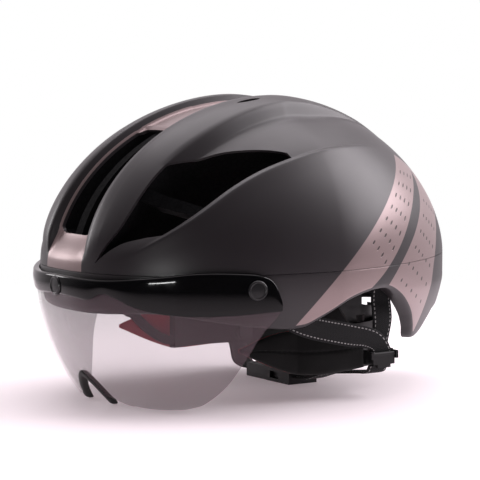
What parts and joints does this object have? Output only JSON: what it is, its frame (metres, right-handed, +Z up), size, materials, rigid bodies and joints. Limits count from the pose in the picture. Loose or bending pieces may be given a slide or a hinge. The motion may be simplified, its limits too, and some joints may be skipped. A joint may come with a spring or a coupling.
{
  "type": "bicycle helmet",
  "caption": "Road cycling helmet with long side vents, rear lobes, a magnetic tinted shield, a turn-dial fit ring and buckled webbing straps.",
  "frame": {"origin": "middle of the bounding box in plan, on the table under the shield", "axes": "-Y towards the brow, +X the wearer's left, +Z up towards the crown"},
  "size_m": [0.208, 0.2894, 0.188],
  "materials": {
    "shell_paint": "satin, bronze panels at brow and tail",
    "foam": "moulded foam, matt",
    "pad_fabric": "red knit, black outside",
    "magnet": "nickel plate",
    "gloss_black": "high gloss",
    "tinted_lens": "smoke tint, polished",
    "black_rubber": "soft matt",
    "black_plastic": "fine grain",
    "grey_plastic": "fine grain",
    "steel": "bright",
    "webbing": "woven, white stitching"
  },
  "bodies": {
    "helmet": {"outer_shell": "shell_paint", "lower_shell": "shell_paint", "liner": "foam", "brow_pad": "pad_fabric", "crown_pad_left": "pad_fabric", "crown_pad_right": "pad_fabric", "shell_magnets": "magnet", "temple_anchor_left": "black_plastic", "temple_anchor_right": "black_plastic", "hanger_socket_left": "black_plastic", "hanger_socket_right": "black_plastic", "front_strap_left": "webbing", "front_strap_right": "webbing", "rear_strap_left": "webbing", "rear_strap_right": "webbing", "divider_left": "black_plastic", "divider_right": "black_plastic", "chin_strap_left": "webbing", "chin_strap_right": "webbing", "buckle_socket": "black_plastic", "strap_clips": "black_plastic"},
    "shield": {"visor_frame": "gloss_black", "lens": "tinted_lens", "nose_piece": "black_rubber", "visor_magnets": "magnet", "visor_buttons": "gloss_black"},
    "fit_ring": {"band_left": "black_plastic", "band_right": "black_plastic", "cradle": "black_plastic", "dial_cover": "black_plastic", "detent_spring": "steel", "side_pad_left": "pad_fabric", "side_pad_right": "pad_fabric"},
    "dial": {"fit_dial": "grey_plastic", "dial_pinion": "grey_plastic", "dial_screw": "steel"},
    "left_rack": {"rack_left": "grey_plastic"},
    "right_rack": {"rack_right": "grey_plastic"},
    "left_lever": {"divider_lever_left": "black_plastic"},
    "right_lever": {"divider_lever_right": "black_plastic"},
    "plug": {"buckle_plug": "black_plastic"},
    "front_prong": {"buckle_prong_front": "black_plastic"},
    "rear_prong": {"buckle_prong_rear": "black_plastic"}
  },
  "joints": [
    {"name": "shield_pull", "type": "slide", "parent": "helmet", "child": "shield", "axis": [0, -1, 0], "range_m": [0, 0.06]},
    {"name": "ring_tilt", "type": "hinge", "parent": "helmet", "child": "fit_ring", "pos_m": [0, -0.053, 0.046], "axis": [1, 0, 0], "range_deg": [0, 5]},
    {"name": "dial_turn", "type": "hinge", "parent": "fit_ring", "child": "dial", "pos_m": [0, 0.085, 0.032], "axis": [0, -1, 0], "range_deg": [0, 110]},
    {"name": "left_rack_slide", "type": "hinge", "parent": "fit_ring", "child": "left_rack", "pos_m": [0, 0.008, 0.032], "axis": [0, 0, 1], "range_deg": [-1, 9.5]},
    {"name": "right_rack_slide", "type": "hinge", "parent": "fit_ring", "child": "right_rack", "pos_m": [0, 0.008, 0.032], "axis": [0, 0, 1], "range_deg": [-9.5, 1]},
    {"name": "left_lever_open", "type": "hinge", "parent": "helmet", "child": "left_lever", "pos_m": [0.0862, 0.039, 0.0275], "axis": [0, -1, 0], "range_deg": [0, 70]},
    {"name": "right_lever_open", "type": "hinge", "parent": "helmet", "child": "right_lever", "pos_m": [-0.0862, 0.039, 0.0275], "axis": [0, 1, 0], "range_deg": [0, 70]},
    {"name": "plug_release", "type": "slide", "parent": "helmet", "child": "plug", "axis": [-1, 0, 0], "range_m": [0, 0.022], "deforming": ["chin_strap_right"]},
    {"name": "front_prong_bend", "type": "hinge", "parent": "plug", "child": "front_prong", "pos_m": [-0.0173, 0.0234, 0.0045], "axis": [0, 0, 1], "range_deg": [0, 5], "stiffness_Nm_per_rad": 0.02},
    {"name": "rear_prong_bend", "type": "hinge", "parent": "plug", "child": "rear_prong", "pos_m": [-0.0173, 0.0366, 0.0045], "axis": [0, 0, -1], "range_deg": [0, 5], "stiffness_Nm_per_rad": 0.02}
  ],
  "couplings": [
    {"joint": "left_rack_slide", "follows": "dial_turn", "ratio": 0.08108},
    {"joint": "right_rack_slide", "follows": "dial_turn", "ratio": -0.08108},
    {"joint": "rear_prong_bend", "follows": "front_prong_bend", "ratio": 1}
  ]
}
